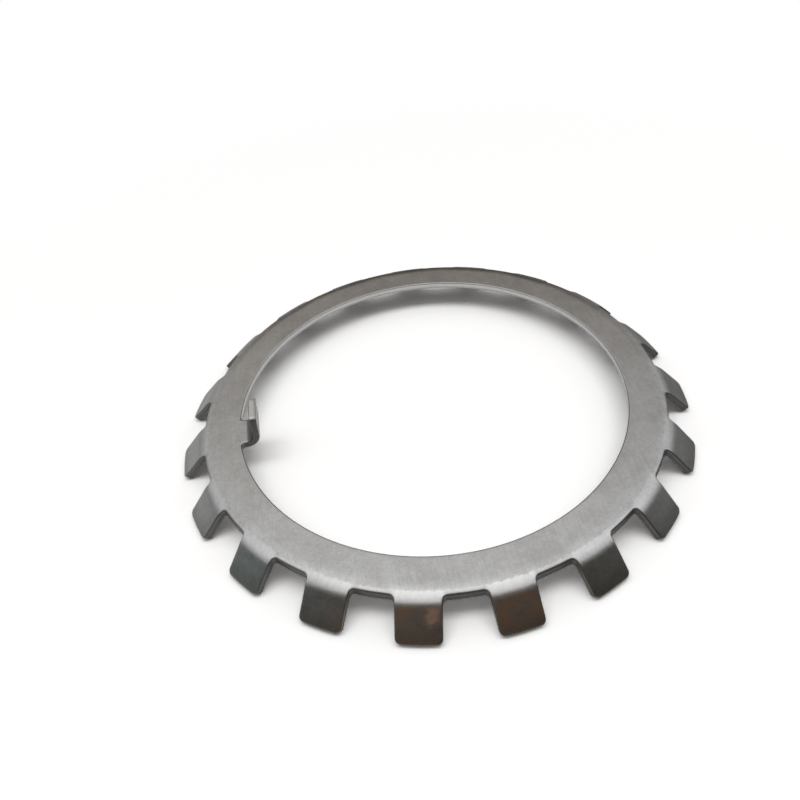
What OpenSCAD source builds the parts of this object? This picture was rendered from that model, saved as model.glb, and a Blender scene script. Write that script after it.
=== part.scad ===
// Bearing lock washer: one stamped ring of sheet steel with a crown of tabs bent
// down around its rim and a single tang bent up inside its bore.
// Millimetres. The origin is the centre of the bore on the ring's upper face,
// Z points up out of that face, and the tang stands on the minus X side.

/* [Ring] */
// Diameter of the bore that slides over the shaft thread
bore_d = 95; // [80:1:120]
// Thickness of the sheet
sheet = 1.75; // [1.25:0.05:2.25]
// Width of the ring from the bore to the roots of the slots
rim = 9; // [7.5:0.1:12]
// Rounding that the punch leaves on the upper edge of the bore
edge_roll = 0.5; // [0.1:0.05:0.8]

/* [Outer tabs] */
// Number of tabs, always odd so that no two stand opposite
tab_count = 19; // [13:2:23]
// Width of a tab between its parallel sides
tab_w = 9.6; // [7:0.1:12]
// Straight length of a tab below its bend
tab_leg = 7.1; // [4:0.1:10]
// Angle by which the tabs are bent down out of the ring
tab_bend = 47; // [35:1:75]
// Inside radius of the bend of the tabs
tab_bend_r = 4.75; // [2.5:0.05:6]
// Distance by which the bend starts inside the roots of the slots
bend_lead = 2.7; // [1.5:0.1:3.5]
// Rounding in the two corners at the root of a slot
slot_root_r = 1; // [0.4:0.1:1.8]
// Rounding of the two corners at the tip of a tab
tab_tip_r = 1.2; // [0.4:0.1:3]

/* [Tang] */
// Width of the tang, set by the keyway in the shaft
tang_w = 8; // [5:0.1:12]
// Height of the tang above the ring
tang_h = 6.9; // [4.5:0.1:10]
// Distance from the bore to the face of the tang that looks into the bore
tang_reach = 5; // [4.4:0.1:8]
// Angle by which the tang is bent up out of the ring
tang_bend = 86.5; // [75:0.5:90]
// Inside radius of the bend of the tang
tang_bend_r = 1.7; // [0.8:0.1:2.1]
// Rounding between the sides of the tang and the bore
tang_root = 0.7; // [0.3:0.1:1.2]
// Rounding of the two corners at the end of the tang
tang_tip_r = 0.8; // [0.3:0.1:2]

/* [Hidden] */
// Hair by which a rounding laps over the face that it runs into
lap = 0.002;
bore_r = bore_d / 2;
slot_r = bore_r + rim;
// Turn from one tab to the next, and the turn that puts a tab behind the tang
tab_step = 360 / tab_count;
tab_start = 180;
bend_start_r = slot_r - bend_lead;
bend_out_r = tab_bend_r + sheet;
// Radius and depth that clear every tab
clear_r = slot_r + bend_out_r + 2 * tab_leg;
clear_h = bend_out_r + 2 * tab_leg;
// Centre of the rounding between the side of a tab and the root of a slot
root_out = slot_r + slot_root_r - lap;
root_y = tab_w / 2 + slot_root_r - lap;
root_x = sqrt(root_out * root_out - root_y * root_y);
// Flat piece of the tang between the bore and its bend
tang_flat = tang_reach - sheet - tang_bend_r;
tang_leg = (tang_h - tang_bend_r * (1 - cos(tang_bend))) / sin(tang_bend);
// Radius inside the flat ring at which the tang is rooted
tang_hold_r = (bore_r + bend_start_r) / 2;
// Share of the flat piece that the rounding beside the tang may take, and its centre
root_share = 0.8;
tang_root_r = min(tang_root, tang_flat * root_share);
tang_root_in = bore_r - tang_root_r + lap;
tang_root_y = tang_w / 2 + tang_root_r - lap;
tang_root_x = sqrt(tang_root_in * tang_root_in - tang_root_y * tang_root_y);
steel = [0.66, 0.66, 0.65];
$fn = 72;
// Facets of the small roundings
small_fn = 24;

// Everything on the inner side of one skin of the bent sheet, with the centre of
// the bend at the origin: the flat lies at minus X and the leg turns down at plus X
module under_skin(r, turn, flat, leg) {
    translate([-flat, -clear_h]) square([flat, clear_h + r]);
    circle(r);
    rotate(-turn) translate([0, -clear_h]) square([leg, clear_h + r - lap]);
}

// Section of bent sheet between its outer and its inner skin
module bent_sheet(r, turn, flat, leg) {
    difference() {
        under_skin(r + sheet, turn, flat, leg);
        under_skin(r, turn, flat + clear_h, leg + clear_h);
    }
}

// Half section of the ring and a tab
module ring_section() {
    difference() {
        translate([bend_start_r, -bend_out_r])
            bent_sheet(tab_bend_r, tab_bend, bend_start_r - bore_r, tab_leg);
        translate([bore_r + edge_roll, -edge_roll]) difference() {
            translate([-2 * edge_roll, 0]) square(2 * edge_roll);
            circle(edge_roll, $fn = small_fn);
        }
    }
}

// Plan of one tab along X, flared where it grows out of the ring
module tab_plan() {
    translate([bore_r, -tab_w / 2]) square([clear_r, tab_w]);
    for (side = [0, 1]) mirror([0, side]) difference() {
        polygon([
            [bore_r, 0],
            [root_x, 0],
            [root_x, root_y],
            [root_x, root_y] * bore_r / root_out
        ]);
        translate([root_x, root_y]) circle(slot_root_r, $fn = small_fn);
    }
}

// Everything that the punch takes out between the tabs
module slots() {
    translate([0, 0, -clear_h]) linear_extrude(2 * clear_h) difference() {
        circle(clear_r);
        circle(slot_r);
        for (k = [0 : tab_count - 1]) rotate(tab_start + k * tab_step) tab_plan();
    }
}

// Waste outside the two rounded corners of a strip of sheet that ends at X zero
module end_corners(w, r) {
    for (side = [0, 1]) mirror([0, side, 0])
        translate([lap - r, w / 2 + lap - r, 0])
            linear_extrude(4 * sheet, center = true) difference() {
                square(2 * r);
                circle(r, $fn = small_fn);
            }
}

// Waste at the tip of the tab that lies along X
module tab_corners() {
    translate([bend_start_r, 0, -bend_out_r]) rotate([0, tab_bend, 0])
        translate([tab_leg, 0, tab_bend_r + sheet / 2]) end_corners(tab_w, tab_tip_r);
}

// Fillets between the bore and the sides of the tang, in plan along X
module tang_fillets() {
    for (side = [0, 1]) mirror([0, side]) difference() {
        polygon([
            [tang_root_x, 0],
            [tang_hold_r, 0],
            [tang_root_x, tang_root_y] * tang_hold_r / tang_root_in,
            [tang_root_x, tang_root_y]
        ]);
        translate([tang_root_x, tang_root_y]) circle(tang_root_r, $fn = small_fn);
    }
}

// Tang along plus X, bent up out of the bore, with rounded end corners
module tang() {
    difference() {
        translate([bore_r - tang_flat, 0, tang_bend_r]) rotate([90, 0, 180])
            linear_extrude(tang_w, center = true) mirror([0, 1])
                bent_sheet(tang_bend_r, tang_bend, tang_hold_r - bore_r + tang_flat, tang_leg);
        translate([bore_r - tang_flat, 0, tang_bend_r]) rotate([0, tang_bend - 180, 0])
            translate([tang_leg, 0, tang_bend_r + sheet / 2]) end_corners(tang_w, tang_tip_r);
    }
    translate([0, 0, -sheet]) linear_extrude(sheet) tang_fillets();
}

module lock_washer() {
    color(steel) union() {
        difference() {
            rotate_extrude() ring_section();
            slots();
            for (k = [0 : tab_count - 1]) rotate(tab_start + k * tab_step) tab_corners();
        }
        rotate(tab_start) tang();
    }
}

lock_washer();
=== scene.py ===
"""Dressed model of a bearing lock washer: one stamped ring of sheet steel, its rim
cut into tabs that are bent down and its bore carrying one tang that is bent up."""

import math

import bpy
from mathutils import Matrix, Vector
from mathutils.geometry import delaunay_2d_cdt
from mathutils.kdtree import KDTree


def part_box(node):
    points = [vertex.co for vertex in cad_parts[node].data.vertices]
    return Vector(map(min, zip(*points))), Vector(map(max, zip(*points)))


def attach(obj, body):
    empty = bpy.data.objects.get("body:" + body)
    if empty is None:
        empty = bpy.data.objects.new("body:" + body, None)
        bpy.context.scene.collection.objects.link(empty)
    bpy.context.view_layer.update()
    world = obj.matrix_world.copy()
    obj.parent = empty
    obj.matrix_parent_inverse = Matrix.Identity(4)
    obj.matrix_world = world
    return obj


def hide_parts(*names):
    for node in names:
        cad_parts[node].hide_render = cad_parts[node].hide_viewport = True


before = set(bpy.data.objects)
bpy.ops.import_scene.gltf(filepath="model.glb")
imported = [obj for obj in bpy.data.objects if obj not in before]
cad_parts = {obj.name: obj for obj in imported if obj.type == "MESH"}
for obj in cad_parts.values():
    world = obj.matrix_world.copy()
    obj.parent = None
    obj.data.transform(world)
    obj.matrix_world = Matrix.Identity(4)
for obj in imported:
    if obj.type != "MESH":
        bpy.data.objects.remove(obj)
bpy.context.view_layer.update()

MM = 0.001

# The sheet, in millimetres, as in the part's source
BORE_R = 47.5
SHEET = 1.75
RIM = 9.0
BEND_LEAD = 2.7
SLOT_R = BORE_R + RIM
BEND_START_R = SLOT_R - BEND_LEAD

# The tabs, one of them in line with the tang
TAB_COUNT = 19
TAB_STEP = 2 * math.pi / TAB_COUNT
TAB_START = math.pi
TAB_HALF = 4.8
TAB_LEG = 7.1
TAB_BEND = math.radians(47.0)
TAB_BEND_R = 4.75
TAB_SKIN_R = TAB_BEND_R + SHEET
TAB_TIP_R = 1.2
TIP_RHO = BEND_START_R + TAB_SKIN_R * TAB_BEND + TAB_LEG
SLOT_ROOT_R = 1.0

# The ring beside a slot takes this share of the bend, less than the tabs do
SLOT_BEND = 0.7
# The change starts this far up the tab and ends over this width
SLOT_LAP = 0.3
SLOT_FADE = 1.8
# This far past the start of the bend the slot's edge turns down, over this width
SLOT_TURN = 2.0
SLOT_TURN_WIDE = 0.8

# The tang
TANG_HALF = 4.0
TANG_REACH = 5.0
TANG_HIGH = 6.9
TANG_BEND = math.radians(86.5)
TANG_BEND_R = 1.7
TANG_FLAT = TANG_REACH - SHEET - TANG_BEND_R
TANG_LEG = (TANG_HIGH - TANG_BEND_R * (1 - math.cos(TANG_BEND))) / math.sin(TANG_BEND)
TANG_LONG = TANG_FLAT + TANG_BEND_R * TANG_BEND + TANG_LEG
TANG_ROOT_R = 0.7
TANG_TIP_R = 0.8
# Painted shade and grime in the inner corner of its bend: lead and width of the start, and the
# end in bend radii
FOLD_LEAD = 0.1
FOLD_FADE = 0.5
FOLD_END = 1.8

# The edges as the punch leaves them: rolled in above, torn and burred below
ROLL_WIDE = 0.34
ROLL_DEEP = 0.26
ROLL_STEPS = 6
BURR_R = 0.12
# Inset at which both faces are flat
FIRM = 0.68
# Inset and depth down the wall under the roll, and round the burr under the wall
CUT_WALL = [(0.0, 0.5), (0.0, 0.85), (0.02, 1.2), (0.03, SHEET - BURR_R)]
CUT_BURR = [(0.06, SHEET - 0.04), (BURR_R, SHEET), (ROLL_WIDE, SHEET), (FIRM, SHEET)]
# Only the wall lies less far in than this
WALL_INSET = 0.04
# Length of the tang's end, whose wall is burnished
TANG_END = 0.05

# Steps along the outlines
ROOT_STEPS = 6
TAB_SIDE_STEPS = 12
TAB_CORNER_STEPS = 6
TAB_TIP_STEPS = 10
SLOT_STEPS = 12
TANG_SIDE_STEPS = 22
TANG_CORNER_STEPS = 5
TANG_TIP_STEPS = 9
BORE_STEPS = 420
# Rings of points inside the outlines, closer together on the bend
RING_RADII = (48.9, 50.1, 51.3, 52.4, 53.3, 53.8, 54.3, 54.7, 55.1, 55.4, 55.7)
RING_POINTS = 342
# Start, step and count of the points along and across each tab and the tang
TAB_ALONG = (56.05, 0.42, 24)
TAB_ACROSS = (-3.85, 0.77, 11)
TANG_ALONG = (0.1, 0.28, 30)
TANG_ACROSS = (-3.0, 0.75, 9)
# Room between these points and the outlines, and the size of one point
POINT_ROOM = 0.3
SAME_POINT = 1e-6

# Places of the finishes in the mesh's list; the torn one also carries painted shade, the
# burnished one painted light
SATIN, TORN_SHADED, BURNISHED_LIT = range(3)


# The bent sheet

def blank_radius(plan_r):
    """Radius on the flat blank of a point of the upper skin that lies at plan_r."""
    if plan_r <= BEND_START_R:
        return plan_r
    across = (plan_r - BEND_START_R) / TAB_SKIN_R
    if across <= math.sin(TAB_BEND):
        return BEND_START_R + TAB_SKIN_R * math.asin(across)
    past = plan_r - BEND_START_R - TAB_SKIN_R * math.sin(TAB_BEND)
    return BEND_START_R + TAB_SKIN_R * TAB_BEND + past / math.cos(TAB_BEND)


def plan_radius(rho):
    """Plan radius and slope of the upper skin at blank radius rho."""
    if rho <= BEND_START_R:
        return rho, 0.0
    turn = (rho - BEND_START_R) / TAB_SKIN_R
    if turn <= TAB_BEND:
        return BEND_START_R + TAB_SKIN_R * math.sin(turn), turn
    past = rho - BEND_START_R - TAB_SKIN_R * TAB_BEND
    end = BEND_START_R + TAB_SKIN_R * math.sin(TAB_BEND)
    return end + past * math.cos(TAB_BEND), TAB_BEND


def skin_height(plan_r, depth):
    """Height of the layer of sheet at this depth below the upper skin."""
    if plan_r <= BEND_START_R:
        return -depth
    layer_r = TAB_SKIN_R - depth
    out = plan_r - BEND_START_R
    end = layer_r * math.sin(TAB_BEND)
    if out <= end:
        return math.sqrt(layer_r * layer_r - out * out) - TAB_SKIN_R
    fall = (out - end) * math.tan(TAB_BEND)
    return layer_r * math.cos(TAB_BEND) - TAB_SKIN_R - fall


# The slots are punched straight down, the tips are square to their own leg
SQUARE_FROM = blank_radius(SLOT_R + SLOT_ROOT_R)


def eased(share):
    """0 up to nothing, 1 from one on, smooth between."""
    share = min(max(share, 0.0), 1.0)
    return share * share * (3 - 2 * share)


def beside_tab(x, y):
    """Distance past the side of the nearest tab; less than nothing on the tab."""
    turn = (math.atan2(y, x) - TAB_START) % TAB_STEP
    return math.hypot(x, y) * min(turn, TAB_STEP - turn) - TAB_HALF


def tang_fold_grime_and_shade(x, y):
    """1 in the inner corner of the tang's bend, where shade and grime are painted, nothing away
    from it.
    """
    along = x + BORE_R
    if x > 0 or abs(y) > TANG_HALF or along > TANG_LONG:
        return 0.0
    past = along - TANG_FLAT
    starts = eased((past + FOLD_LEAD) / FOLD_FADE)
    return starts * (1 - eased(past / TANG_BEND_R - FOLD_END))


def bend_share(x, y):
    """How much of the bend reaches a point: all of it on a tab, less beside a slot,
    where the ring stays flatter and turns down at its edge."""
    aside = eased((beside_tab(x, y) + SLOT_LAP) / SLOT_FADE)
    edge = eased((math.hypot(x, y) - BEND_START_R - SLOT_TURN) / SLOT_TURN_WIDE)
    return 1 - (1 - SLOT_BEND) * aside * (1 - edge)


def bend_sheet(x, y, depth):
    """Where a point of the flat blank goes once tabs and tang are bent."""
    along = x + BORE_R
    if x < 0 and along > TANG_FLAT and abs(y) < 2 * TANG_HALF:
        if math.hypot(x, y) < BORE_R:
            turn = min((along - TANG_FLAT) / TANG_BEND_R, TANG_BEND)
            past = along - TANG_FLAT - TANG_BEND_R * turn
            out = TANG_FLAT + (TANG_BEND_R + depth) * math.sin(turn)
            up = TANG_BEND_R - (TANG_BEND_R + depth) * math.cos(turn)
            return (out + past * math.cos(turn) - BORE_R, y,
                    up + past * math.sin(turn))
    rho = math.hypot(x, y)
    plan_r, slope = plan_radius(rho)
    square = (rho - SQUARE_FROM) / (TIP_RHO - SQUARE_FROM)
    plan_r -= depth * math.sin(slope) * min(max(square, 0.0), 1.0)
    scale = plan_r / rho
    fall = skin_height(plan_r, depth) + depth
    if rho < SQUARE_FROM:
        fall *= bend_share(x, y)
    return (x * scale, y * scale, fall - depth)


# Outlines of the flat blank

def steps(start, end, count):
    """Evenly spaced values from start to just before end."""
    return [start + (end - start) * i / count for i in range(count)]


def spaced(start, step, count):
    """Values from start on, one step apart."""
    return [start + step * i for i in range(count)]


def polar(rho, angle):
    """The point at this radius and angle."""
    return (rho * math.cos(angle), rho * math.sin(angle))


def rim_outline():
    """Round the rim anticlockwise: side, tip and side of each tab, then a slot."""
    root_y = TAB_HALF + SLOT_ROOT_R
    root_x = math.sqrt((SLOT_R + SLOT_ROOT_R) ** 2 - root_y ** 2)
    root_angle = math.atan2(root_y, root_x)
    root_rho = blank_radius(math.hypot(root_x, TAB_HALF))
    corner_rho = TIP_RHO - TAB_TIP_R
    corner_y = TAB_HALF - TAB_TIP_R
    half = []
    for a in steps(math.pi - root_angle, math.pi / 2, ROOT_STEPS):
        px = root_x + SLOT_ROOT_R * math.cos(a)
        py = -root_y + SLOT_ROOT_R * math.sin(a)
        half.append((blank_radius(math.hypot(px, py)), math.atan2(py, px)))
    for rho in steps(root_rho, corner_rho, TAB_SIDE_STEPS):
        half.append((rho, -math.asin(TAB_HALF / plan_radius(rho)[0])))
    for a in steps(-math.pi / 2, 0, TAB_CORNER_STEPS):
        rho = corner_rho + TAB_TIP_R * math.cos(a)
        y = -corner_y + TAB_TIP_R * math.sin(a)
        half.append((rho, math.asin(y / plan_radius(rho)[0])))
    tip_r = plan_radius(TIP_RHO)[0]
    tip = [(TIP_RHO, math.asin(y / tip_r))
           for y in steps(-corner_y, corner_y, TAB_TIP_STEPS) + [corner_y]]
    tab = half + tip + [(rho, -angle) for rho, angle in reversed(half)]
    slot_rho = blank_radius(SLOT_R)
    slot = steps(root_angle, TAB_STEP - root_angle, SLOT_STEPS)[1:]
    tab += [(slot_rho, angle) for angle in slot]
    return [polar(rho, TAB_START + k * TAB_STEP + angle)
            for k in range(TAB_COUNT) for rho, angle in tab]


def bore_outline():
    """Round the bore clockwise, in and out along the tang."""
    root_y = TANG_HALF + TANG_ROOT_R
    root_x = -math.sqrt((BORE_R - TANG_ROOT_R) ** 2 - root_y ** 2)
    root_angle = math.atan2(root_y, root_x)
    end_x = TANG_LONG - BORE_R
    tip_y = TANG_HALF - TANG_TIP_R
    half = []
    for a in steps(root_angle, 1.5 * math.pi, ROOT_STEPS):
        half.append((root_x + TANG_ROOT_R * math.cos(a),
                     root_y + TANG_ROOT_R * math.sin(a)))
    for x in steps(root_x, end_x - TANG_TIP_R, TANG_SIDE_STEPS):
        half.append((x, TANG_HALF))
    for a in steps(math.pi / 2, 0, TANG_CORNER_STEPS):
        half.append((end_x - TANG_TIP_R + TANG_TIP_R * math.cos(a),
                     tip_y + TANG_TIP_R * math.sin(a)))
    tip = [(end_x, y) for y in steps(tip_y, -tip_y, TANG_TIP_STEPS) + [-tip_y]]
    tang = half + tip + [(x, -y) for x, y in reversed(half)]
    ring = [polar(BORE_R, a) for a in steps(-root_angle, root_angle, BORE_STEPS)[1:]]
    return list(reversed(ring + tang))


def torn_shaded_wall(point):
    """Whether a cut wall is torn, as on the tabs and along the tang, or burnished, as in
    the bore and on the tang's end; the torn walls also carry painted shade, the burnished
    painted light."""
    along = point[0] + BORE_R
    on_tang = point[0] < 0 and along < TANG_LONG - TANG_END
    beside = abs(abs(point[1]) - TANG_HALF) < TANG_TIP_R
    return math.hypot(*point) > BEND_START_R or (on_tang and beside)


def outward(loop):
    """Unit directions out of the sheet at each point of a closed outline."""
    out = []
    for i in range(len(loop)):
        before, after = loop[i - 1], loop[(i + 1) % len(loop)]
        dx, dy = after[0] - before[0], after[1] - before[1]
        size = math.hypot(dx, dy)
        out.append((dy / size, -dx / size))
    return out


def drawn_in(loop, by):
    """The outline moved into the sheet."""
    return [(x - nx * by, y - ny * by)
            for (x, y), (nx, ny) in zip(loop, outward(loop))]


def in_outline(point, loop):
    """Whether a point lies inside a closed outline."""
    inside = False
    for (ax, ay), (bx, by) in zip(loop, loop[1:] + loop[:1]):
        if (ay > point.y) != (by > point.y):
            if point.x < ax + (point.y - ay) / (by - ay) * (bx - ax):
                inside = not inside
    return inside


def inner_points():
    """Points spread over the blank inside its edges."""
    points = []
    for rho in RING_RADII:
        points += [polar(rho, 2 * math.pi * i / RING_POINTS)
                   for i in range(RING_POINTS)]
    for k in range(TAB_COUNT):
        turn = TAB_START + k * TAB_STEP
        for rho in spaced(*TAB_ALONG):
            points += [polar(rho, turn + math.asin(y / plan_radius(rho)[0]))
                       for y in spaced(*TAB_ACROSS)]
    for along in spaced(*TANG_ALONG):
        points += [(along - BORE_R, y) for y in spaced(*TANG_ACROSS)]
    return points


# The washer's mesh

def edge_section():
    """Inset and depth down one cut edge, from the upper face to the lower."""
    section = [(FIRM, 0.0)]
    for i in range(ROLL_STEPS + 1):
        a = 0.5 * math.pi * i / ROLL_STEPS
        section.append((ROLL_WIDE * (1 - math.sin(a)), ROLL_DEEP * (1 - math.cos(a))))
    return section + CUT_WALL + CUT_BURR


def filled_blank(rim, bore):
    """The blank between two outlines in triangles: its points, its faces, and the
    place among the points of each point of the outlines."""
    blank = rim + bore
    fixed = len(blank)
    held = KDTree(fixed)
    for i, (x, y) in enumerate(blank):
        held.insert((x, y, 0.0), i)
    held.balance()
    edges = []
    for start, count in ((0, len(rim)), (len(rim), len(bore))):
        edges += [(start + i, start + (i + 1) % count) for i in range(count)]
    blank += [(x, y) for x, y in inner_points()
              if held.find((x, y, 0.0))[2] > POINT_ROOM]
    found = delaunay_2d_cdt([Vector(p) for p in blank], edges, [], 1, SAME_POINT)
    flat, was = found[0], found[3]
    on_bore = set(range(len(rim), fixed))
    faces = []
    for face in found[2]:
        if all(on_bore & set(was[i]) for i in face):
            middle = sum((flat[i] for i in face), Vector((0, 0))) / 3
            if in_outline(middle, bore):
                continue
        faces.append(face)
    now = {old: i for i, olds in enumerate(was) for old in olds}
    return flat, faces, now


def washer_mesh():
    """The bent sheet as one closed mesh: its two faces, and the walls between them."""
    section = edge_section()
    loops = [rim_outline(), bore_outline()]
    flat, triangles, now = filled_blank(*[drawn_in(loop, FIRM) for loop in loops])
    points, faces, skin = [], [], []
    marks = {"fold": [], "depth": [], "past": [], "off": []}

    def add(x, y, depth):
        points.append([c * MM for c in bend_sheet(x, y, depth)])
        marks["fold"].append(tang_fold_grime_and_shade(x, y))
        marks["depth"].append(depth / SHEET)
        marks["past"].append(math.hypot(x, y) - BEND_START_R)
        marks["off"].append(beside_tab(x, y))
        return len(points) - 1

    top, bottom = {}, {}
    for i, point in enumerate(flat):
        top[i] = add(point.x, point.y, 0.0)
        bottom[i] = add(point.x, point.y, SHEET)
    for a, b, c in triangles:
        faces.append((top[a], top[b], top[c]))
        faces.append((bottom[c], bottom[b], bottom[a]))
        skin += [SATIN, SATIN]
    start = 0
    for loop in loops:
        count = len(loop)
        rows = [[top[now[start + i]] for i in range(count)]]
        for inset, depth in section[1:-1]:
            ring = drawn_in(loop, inset)
            rows.append([add(x, y, depth) for x, y in ring])
        rows.append([bottom[now[start + i]] for i in range(count)])
        for step, (upper, lower) in enumerate(zip(rows, rows[1:])):
            cut = max(section[step][0], section[step + 1][0]) < WALL_INSET
            for i in range(count):
                j = (i + 1) % count
                faces.append((upper[i], lower[i], lower[j], upper[j]))
                wall = TORN_SHADED if torn_shaded_wall(loop[i]) else BURNISHED_LIT
                skin.append(wall if cut else SATIN)
        start += count
    mesh = bpy.data.meshes.new("stamped_washer")
    mesh.from_pydata(points, [], faces)
    mesh.polygons.foreach_set("use_smooth", [True] * len(faces))
    mesh.polygons.foreach_set("material_index", skin)
    for name, values in marks.items():
        mesh.attributes.new(name, "FLOAT", "POINT").data.foreach_set("value", values)
    mesh.update()
    return mesh


# Finishes

class Value:
    """A number that varies over the surface; arithmetic on it adds Math nodes."""

    def __init__(self, recipe, socket):
        self.recipe = recipe
        self.socket = socket

    def math(self, operation, first, second):
        return self.recipe.add("ShaderNodeMath", {"operation": operation},
                               {0: first, 1: second})

    def __add__(self, other):
        return self.math("ADD", self, other)

    def __radd__(self, other):
        return self.math("ADD", other, self)

    def __sub__(self, other):
        return self.math("SUBTRACT", self, other)

    def __rsub__(self, other):
        return self.math("SUBTRACT", other, self)

    def __mul__(self, other):
        return self.math("MULTIPLY", self, other)

    def __rmul__(self, other):
        return self.math("MULTIPLY", other, self)


class Recipe:
    """Adds nodes to one material or to the world."""

    def __init__(self, tree):
        self.tree = tree
        tree.nodes.clear()

    def add(self, kind, settings=None, sockets=None, out=0):
        """One node with its settings and its sockets; gives the output named."""
        node = self.tree.nodes.new(kind)
        for name, value in (settings or {}).items():
            if name == "stops":
                ramp = node.color_ramp.elements
                while len(ramp) < len(value):
                    ramp.new(1.0)
                for stop, (place, colour) in zip(ramp, value):
                    stop.position = place
                    stop.color = colour
            else:
                setattr(node, name, value)
        for name, value in (sockets or {}).items():
            if isinstance(value, Value):
                self.tree.links.new(value.socket, node.inputs[name])
            else:
                node.inputs[name].default_value = value
        return Value(self, node.outputs[out]) if node.outputs else node

    def noise(self, where, scale, detail, rough):
        return self.add("ShaderNodeTexNoise", {"noise_dimensions": "3D"},
                        {"Vector": where, "Scale": scale, "Detail": detail,
                         "Roughness": rough})

    def between(self, value, low, high):
        """0 below low, 1 above high, smooth between."""
        return self.add("ShaderNodeMapRange", {"interpolation_type": "SMOOTHSTEP"},
                        {"Value": value, "From Min": low, "From Max": high})

    def blend(self, share, first, second):
        """From the first colour to the second."""
        return self.add("ShaderNodeMix", {"data_type": "RGBA"},
                        {"Factor": share, 6: first, 7: second}, 2)

    def vector(self, operation, first, second):
        return self.add("ShaderNodeVectorMath", {"operation": operation},
                        {0: first, 1: second})

    def reach(self, where, direction):
        """How far a place or a look reaches in this direction."""
        return self.add("ShaderNodeVectorMath", {"operation": "DOT_PRODUCT"},
                        {0: where, 1: direction}, "Value")

    def scaled(self, colour, by):
        return self.add("ShaderNodeVectorMath", {"operation": "SCALE"},
                        {0: colour, "Scale": by})

    def marked(self, name):
        """A mark that the mesh carries on its points."""
        return self.add("ShaderNodeAttribute", {"attribute_name": name}, None, "Fac")

    def ways_seen(self):
        """1 where a surface is looked at, mirrored in metal or seen through glass."""
        return [self.add("ShaderNodeLightPath", None, None, name) for name in
                ("Is Camera Ray", "Is Glossy Ray", "Is Transmission Ray")]

    def millimetres(self, stretch=(1.0, 1.0, 1.0)):
        """The place on the object in millimetres, each way times its stretch."""
        place = self.add("ShaderNodeTexCoord", None, None, "Object")
        return self.vector("MULTIPLY", place, [s / MM for s in stretch])


def grey(level, warm=0.0):
    """A grey, with more red and less blue where it is warm."""
    return (level * (1 + warm), level, level * (1 - warm), 1.0)


def new_recipe(name):
    """A new material, and the recipe that fills it."""
    material = bpy.data.materials.new(name)
    material.use_nodes = True
    return material, Recipe(material.node_tree)


# The side on which the bends are scuffed most and carry the most painted highlight, and the
# legs are stained
WORN_AND_HIGHLIT_SIDE = (-0.139, -0.990, 0.0)
WORN_AND_HIGHLIT_FADE = (0.86, 0.98)
# Millimetres past the start of the bend over which the scuffs with their painted highlight, the
# stains, the bloom and the painted shade at the tips start and end
SCUFF_AND_HIGHLIGHT_STARTS = (1.55, 1.95)
SCUFF_AND_HIGHLIGHT_ENDS = (3.7, 4.5)
STAIN_STARTS = (4.2, 5.2)
BLOOM_STARTS = (4.6, 5.6)
TIP_SHADE_STARTS = (7.5, 12.0)
# The front tab's leg carries a bloom of rust: the way across that tab, and the
# bloom's middle past the start of the bend and across the tab
BLOOM_WAY = (0.969, -0.245, 0.0)
BLOOM_PAST = 6.5
BLOOM_ACROSS = 2.7
# Rolling lines run along Y
LINE_STRETCH = (2.0, 0.07, 2.0)
# Colours of the steel, dark and light, of what marks it, and of the painted highlight and
# painted shade on it
STEEL = (grey(0.42, 0.010), grey(0.565, -0.006))
SCUFFED_AND_HIGHLIT = (grey(0.57), grey(1.0))
STAINED = (0.66, 0.47, 0.33, 1.0)
TIP_SHADE = grey(0.22, 0.05)
RUST = (0.52, 0.31, 0.19, 1.0)
FOLD_GRIME_AND_SHADE = grey(0.08, 0.03)
UNDERSIDE_SHADE = grey(0.16, 0.03)
EDGE_GRIME_AND_SHADE = grey(0.14, 0.03)
# Height of the finest relief
RELIEF = 0.02 * MM


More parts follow.
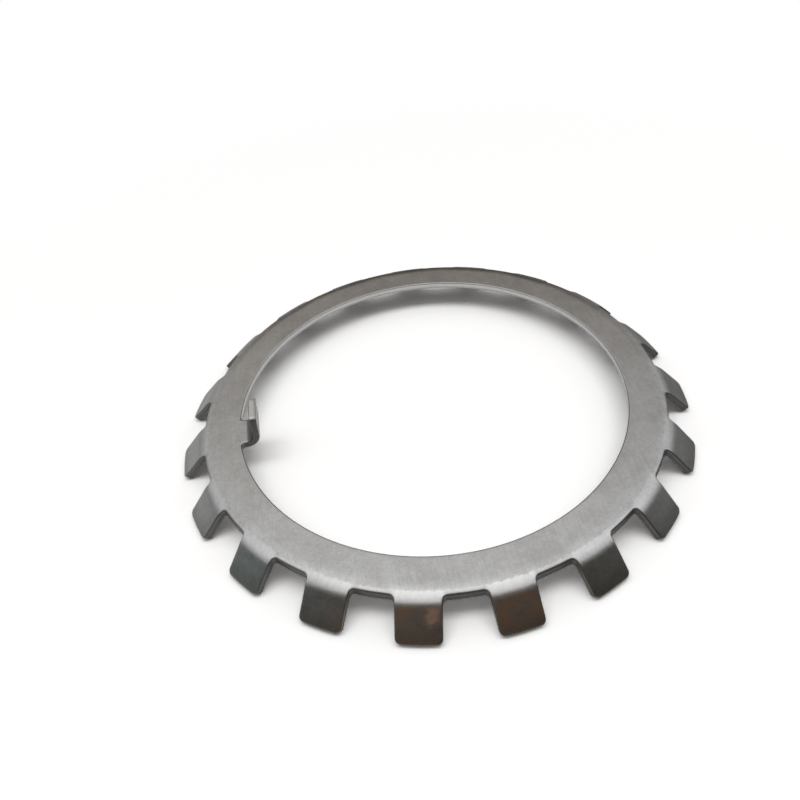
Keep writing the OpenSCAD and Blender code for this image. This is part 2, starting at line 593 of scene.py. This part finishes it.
def satin_steel():
    """Rolled faces: fine grain and mottling, bends scuffed pale with a painted highlight, legs
    stained, painted shade towards the tips and on the underside, and painted shade with grime
    in the tang's fold and along the rolled edges.
    """
    material, mix = new_recipe("satin_steel")
    where = mix.millimetres()
    grain = mix.noise(where, 2.4, 3.0, 0.6)
    cloud = mix.noise(where, 0.30, 3.0, 0.55)
    patch = mix.noise(where, 0.06, 2.0, 0.5)
    lines = mix.noise(mix.millimetres(LINE_STRETCH), 1.0, 3.0, 0.6)
    mottle = mix.noise(where, 0.9, 3.0, 0.6)
    flat = mix.vector("MULTIPLY", where, (1.0, 1.0, 0.0))
    spoke = mix.add("ShaderNodeVectorMath", {"operation": "NORMALIZE"}, {0: flat})
    streak = mix.noise(spoke, 60.0, 5.0, 0.75)
    worn_and_highlit = mix.between(mix.reach(spoke, WORN_AND_HIGHLIT_SIDE), *WORN_AND_HIGHLIT_FADE)

    past = mix.marked("past")
    # Scuffs on the bends, which also carry a painted highlight
    ragged = past + 0.5 * (grain - 0.5) + 0.8 * (mottle - 0.5)
    scuff_and_highlight = mix.between(ragged, *SCUFF_AND_HIGHLIGHT_STARTS) * (1 - mix.between(ragged, *SCUFF_AND_HIGHLIGHT_ENDS))
    scuff_and_highlight = scuff_and_highlight * (1 - 0.8 * mix.between(mix.marked("off"), -0.4, 0.8))
    scuff_and_highlight = scuff_and_highlight * (0.30 + 0.70 * worn_and_highlit)
    stain = mix.between(past, *STAIN_STARTS) * worn_and_highlit
    stain = stain * mix.between(0.3 * mottle + 0.7 * cloud, 0.38, 0.68)
    out = 0.42 * (past - BLOOM_PAST)
    aside = 0.62 * (mix.reach(where, BLOOM_WAY) - BLOOM_ACROSS + 0.25 * out)
    bloom = out * out + aside * aside + 3.4 * (mottle - 0.5) + 2.4 * (grain - 0.5)
    bloom = (1 - mix.between(bloom, -0.4, 1.3)) * worn_and_highlit * mix.between(past, *BLOOM_STARTS)
    depth = mix.marked("depth")
    fold = mix.marked("fold") * (1 - mix.between(depth, 0.1, 0.5))
    edge_grime_and_shade = mix.between(depth, 0.01, 0.07) * (1 - mix.between(depth, 0.4, 0.6))

    tone = mix.between(0.2 * patch + 0.2 * cloud + 0.2 * mottle + 0.25 * grain
                       + 0.15 * lines, 0.38, 0.62)
    colour = mix.blend(tone, *STEEL)
    # The pale scuff colour is partly real rub marks and partly a painted highlight on the bends
    pale = mix.blend(0.5 * streak + 0.5 * mottle, *SCUFFED_AND_HIGHLIT)
    colour = mix.blend(0.8 * scuff_and_highlight, colour, pale)
    colour = mix.blend(0.8 * stain, colour, STAINED)
    # Painted shade: the legs darken towards their tips
    colour = mix.blend(0.35 * mix.between(past, *TIP_SHADE_STARTS), colour, TIP_SHADE)
    colour = mix.blend(bloom, colour, RUST)
    # Painted shade, with some grime, in the inner corner of the tang's bend
    colour = mix.blend(0.85 * fold, colour, FOLD_GRIME_AND_SHADE)
    # Painted shade: the underside is painted dark, which also keeps the table under the ring
    # darker
    colour = mix.blend(0.8 * mix.between(depth, 0.9, 1.0), colour, UNDERSIDE_SHADE)
    # Grime and painted shade on the rolled edges, just below the upper face
    colour = mix.blend(0.85 * edge_grime_and_shade, colour, EDGE_GRIME_AND_SHADE)
    rough = 0.31 + 0.04 * (grain - 0.5) + 0.03 * (cloud - 0.5)
    rough = rough + scuff_and_highlight * (0.12 + 0.06 * (streak - 0.5))
    height = 0.5 * grain + 0.3 * mottle + 0.2 * lines + 0.4 * scuff_and_highlight * (streak - 0.5)
    bump = mix.add("ShaderNodeBump", None,
                   {"Strength": 1.0, "Distance": RELIEF, "Height": height})
    shader = mix.add("ShaderNodeBsdfPrincipled", None,
                     {"Base Color": colour, "Metallic": 1 - 0.7 * bloom,
                      "Roughness": rough, "Normal": bump})
    mix.add("ShaderNodeOutputMaterial", None, {"Surface": shader})
    return material


def cut_steel(name, burnished, torn_tone, bite):
    """Punched walls: a burnished upper band over a torn, darker lower band, which
    starts at bite, a share of the sheet's depth."""
    material, mix = new_recipe(name)
    streak = mix.noise(mix.millimetres((4.5, 4.5, 0.5)), 1.0, 3.0, 0.6)
    tear = mix.noise(mix.millimetres(), 3.2, 4.0, 0.65)
    torn = mix.between(mix.marked("depth") + (tear - 0.5) * 0.35, bite, bite + 0.12)
    colour = mix.blend(streak, grey(0.8 * burnished, 0.01), grey(1.15 * burnished, 0.005))
    colour = mix.blend(torn * (0.4 + 0.6 * tear), colour, grey(torn_tone, 0.03))
    rough = 0.42 + 0.12 * (streak - 0.5) + 0.14 * torn
    bump = mix.add("ShaderNodeBump", None,
                   {"Strength": 0.6, "Distance": RELIEF,
                    "Height": 0.5 * streak + torn * tear})
    shader = mix.add("ShaderNodeBsdfPrincipled", None,
                     {"Base Color": colour, "Metallic": 1.0, "Roughness": rough,
                      "Normal": bump})
    mix.add("ShaderNodeOutputMaterial", None, {"Surface": shader})
    return material


# Level of the table under the light, and the level at which it is seen as white
TABLE_LIT = 0.30
TABLE_WHITE = 2.05
# Share of that white that metal and glass show
TABLE_MIRRORED = 0.68
# The share metal shows falls off between these millimetres from the middle, less so on the
# left: painted shade on the mirrored table
NEAR_FADE = (58.0, 67.0)
FAR_LEAST = 0.10
FAR_LEFT = 0.50
LEFT_FADE = (-85.0, 0.0)
# Millimetres from the middle over which the table turns into a white backdrop
BACKDROP_FADE = (85.0, 240.0)


def pale_floor():
    """White table that takes the washer's shadow."""
    material, mix = new_recipe("pale_floor")
    seen, mirrored, through = mix.ways_seen()
    where = mix.millimetres()
    off = mix.add("ShaderNodeVectorMath", {"operation": "LENGTH"}, {0: where}, "Value")
    along = mix.add("ShaderNodeSeparateXYZ", None, {0: where}, "X")
    # Painted shade: metal shows the table dimmer away from the washer, least so on the left
    near = 1 - mix.between(off, *NEAR_FADE)
    far = FAR_LEAST + FAR_LEFT * (1 - mix.between(along, *LEFT_FADE))
    shown = seen + TABLE_MIRRORED * (mirrored + through) * (near + (1 - near) * far)
    table = mix.add("ShaderNodeBsdfDiffuse", None,
                    {"Color": mix.blend(shown, grey(TABLE_LIT), grey(TABLE_WHITE))})
    backdrop = mix.add("ShaderNodeEmission", None, {"Color": grey(1.0), "Strength": 1.0})
    surface = mix.add("ShaderNodeMixShader", None,
                      {0: seen * mix.between(off, *BACKDROP_FADE), 1: table, 2: backdrop})
    mix.add("ShaderNodeOutputMaterial", None, {"Surface": surface})
    return material


# The washer in place, its finishes in the order of their places in the mesh's list

washer = bpy.data.objects.new("stamped_washer", washer_mesh())
bpy.context.scene.collection.objects.link(washer)
washer.data.materials.append(satin_steel())
# The torn walls are painted darker, partly as shade, and the burnished bore wall lighter,
# partly as lit
washer.data.materials.append(cut_steel("torn_shaded_edge", burnished=0.235, torn_tone=0.18, bite=0.30))
washer.data.materials.append(cut_steel("bore_wall", burnished=0.66, torn_tone=0.47, bite=0.62))
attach(washer, "root")
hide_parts("lock_washer")

# Floor, camera and light, in metres

FLOOR_HALF = 3.0
floor_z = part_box("lock_washer")[0].z
floor_mesh = bpy.data.meshes.new("floor")
floor_mesh.from_pydata([(x * FLOOR_HALF, y * FLOOR_HALF, floor_z)
                        for x, y in ((-1, -1), (1, -1), (1, 1), (-1, 1))],
                       [], [(0, 1, 2, 3)])
floor = bpy.data.objects.new("floor", floor_mesh)
floor.data.materials.append(pale_floor())
bpy.context.scene.collection.objects.link(floor)

CAMERA_TURN = math.radians(-97.90)
CAMERA_RISE = math.radians(43.320)
CAMERA_AWAY = 187.55 * MM
CAMERA_ROLL = math.radians(-5.627)
CAMERA_NEAREST = 0.01
SENSOR_MM = 36.0
FRAME_PIXELS = 800
FOCAL_PIXELS = 754.70
# Where the bore's centre lands, right of the picture's middle and below it
BORE_PIXEL = (30.045, -5.229)


def place_camera():
    """Stands off the bore's centre, rolled, and turned so that it lands off centre."""
    front = Vector((math.cos(CAMERA_TURN), math.sin(CAMERA_TURN), 0.0))
    back = front * math.cos(CAMERA_RISE) + Vector((0, 0, math.sin(CAMERA_RISE)))
    ahead = -back
    right = ahead.cross(Vector((0, 0, 1))).normalized()
    up = right.cross(ahead)
    c, s = math.cos(CAMERA_ROLL), math.sin(CAMERA_ROLL)
    right, up = right * c + up * s, up * c - right * s
    aim = Vector((BORE_PIXEL[0] / FOCAL_PIXELS, -BORE_PIXEL[1] / FOCAL_PIXELS, 1.0))
    swing = Vector((0, 0, 1)).rotation_difference(aim).to_matrix()
    seen = [right, up, ahead]
    axes = [sum((seen[j] * swing[i][j] for j in range(3)), Vector())
            for i in range(3)]
    lens = bpy.data.cameras.new("camera")
    lens.sensor_width = SENSOR_MM
    lens.lens = FOCAL_PIXELS / FRAME_PIXELS * lens.sensor_width
    lens.clip_start = CAMERA_NEAREST
    camera = bpy.data.objects.new("camera", lens)
    stand = back * CAMERA_AWAY
    camera.matrix_world = Matrix((
        (axes[0].x, axes[1].x, -axes[2].x, stand.x),
        (axes[0].y, axes[1].y, -axes[2].y, stand.y),
        (axes[0].z, axes[1].z, -axes[2].z, stand.z),
        (0, 0, 0, 1)))
    bpy.context.scene.collection.objects.link(camera)
    bpy.context.scene.camera = camera


# Name, length and watts of the lamps, which hang across the view, a little to the front
LAMPS = (("long_lamp", 2.9, 1.7), ("short_lamp", 1.2, 2.55))
LAMP_WIDE = 0.40
LAMP_AHEAD = 0.07
LAMP_UP = 1.1
# Share of the room's brightness that lights dull surfaces, such as the table
ROOM_LIGHT = 0.42
# The room behind the washer by height, and its tint at the left and at the right
BEHIND = [
    (0.0, grey(0.06, 0.10)), (0.30, grey(0.07, 0.14)), (0.50, grey(0.12, 0.36)),
    (0.61, grey(0.335, 0.15)), (0.67, grey(0.52, 0.02)), (0.77, grey(0.80)),
    (0.84, grey(1.08)), (0.91, grey(0.93)), (1.0, grey(0.86))]
BEHIND_TINT = ((1.30, 1.30, 1.24, 1.0), (0.67, 0.66, 0.69, 1.0))
# The room to both sides by height, and how far aside it takes over
BESIDE = [
    (0.0, grey(0.20, 0.02)), (0.12, grey(0.30, 0.02)), (0.28, grey(0.47, 0.01)),
    (0.42, grey(0.64)), (0.58, grey(0.76)), (0.72, grey(0.56)), (1.0, grey(0.70))]
BESIDE_FADE = (0.22, 0.60)
# The dim room in front, from left to right, and the width of its upper border
GLOOM = [
    (0.0, (0.035, 0.068, 0.054, 1.0)), (0.15, (0.062, 0.056, 0.052, 1.0)),
    (0.40, (0.088, 0.064, 0.046, 1.0)), (0.70, (0.080, 0.052, 0.034, 1.0)),
    (0.90, (0.024, 0.021, 0.010, 1.0)), (1.0, (0.036, 0.038, 0.036, 1.0))]
GLOOM_FADE = (-0.12, 0.12)


def light_room():
    """A pale room behind, a dim one in front, and two long soft lamps overhead."""
    world = bpy.data.worlds.new("room")
    world.use_nodes = True
    mix = Recipe(world.node_tree)
    look = mix.add("ShaderNodeTexCoord", None, None, "Generated")
    height = mix.add("ShaderNodeSeparateXYZ", None, {0: look}, "Z")
    toward = (math.cos(CAMERA_TURN), math.sin(CAMERA_TURN), 0.0)
    front = mix.reach(look, toward)
    right = mix.reach(look, (-toward[1], toward[0], 0.0))
    aside = mix.add("ShaderNodeMath", {"operation": "ABSOLUTE"}, {0: right})
    rightward = 0.5 + 0.5 * right
    behind = mix.add("ShaderNodeValToRGB", {"stops": BEHIND}, {0: height})
    behind = mix.vector("MULTIPLY", behind, mix.blend(rightward, *BEHIND_TINT))
    beside = mix.add("ShaderNodeValToRGB", {"stops": BESIDE}, {0: height})
    beside = mix.scaled(beside, 1.24 + 0.11 * right + front * (0.38 + 0.22 * right))
    bright = mix.blend(mix.between(aside, *BESIDE_FADE), behind, beside)
    gloom = mix.add("ShaderNodeValToRGB", {"stops": GLOOM}, {0: rightward})
    above = height - (0.36 + 0.72 * front - 0.15 * aside
                      + 0.14 * front * mix.between(right, 0.4, 0.8))
    room = mix.blend(mix.between(above, *GLOOM_FADE), gloom, bright)
    seen, mirrored, through = mix.ways_seen()
    room = mix.scaled(room, ROOM_LIGHT + (1 - ROOM_LIGHT) * (mirrored + through))
    room = mix.blend(seen, room, grey(1.0))
    sky = mix.add("ShaderNodeBackground", None, {"Color": room, "Strength": 1.0})
    mix.add("ShaderNodeOutputWorld", None, {"Surface": sky})
    bpy.context.scene.world = world
    for name, length, watts in LAMPS:
        lamp = bpy.data.lights.new(name, "AREA")
        lamp.shape = "RECTANGLE"
        lamp.size = length
        lamp.size_y = LAMP_WIDE
        lamp.energy = watts
        hung = bpy.data.objects.new(name, lamp)
        hung.location = (LAMP_AHEAD * toward[0], LAMP_AHEAD * toward[1], LAMP_UP)
        hung.rotation_euler = (0.0, 0.0, CAMERA_TURN + 0.5 * math.pi)
        bpy.context.scene.collection.objects.link(hung)


place_camera()
light_room()
bpy.context.scene.view_settings.view_transform = "Standard"
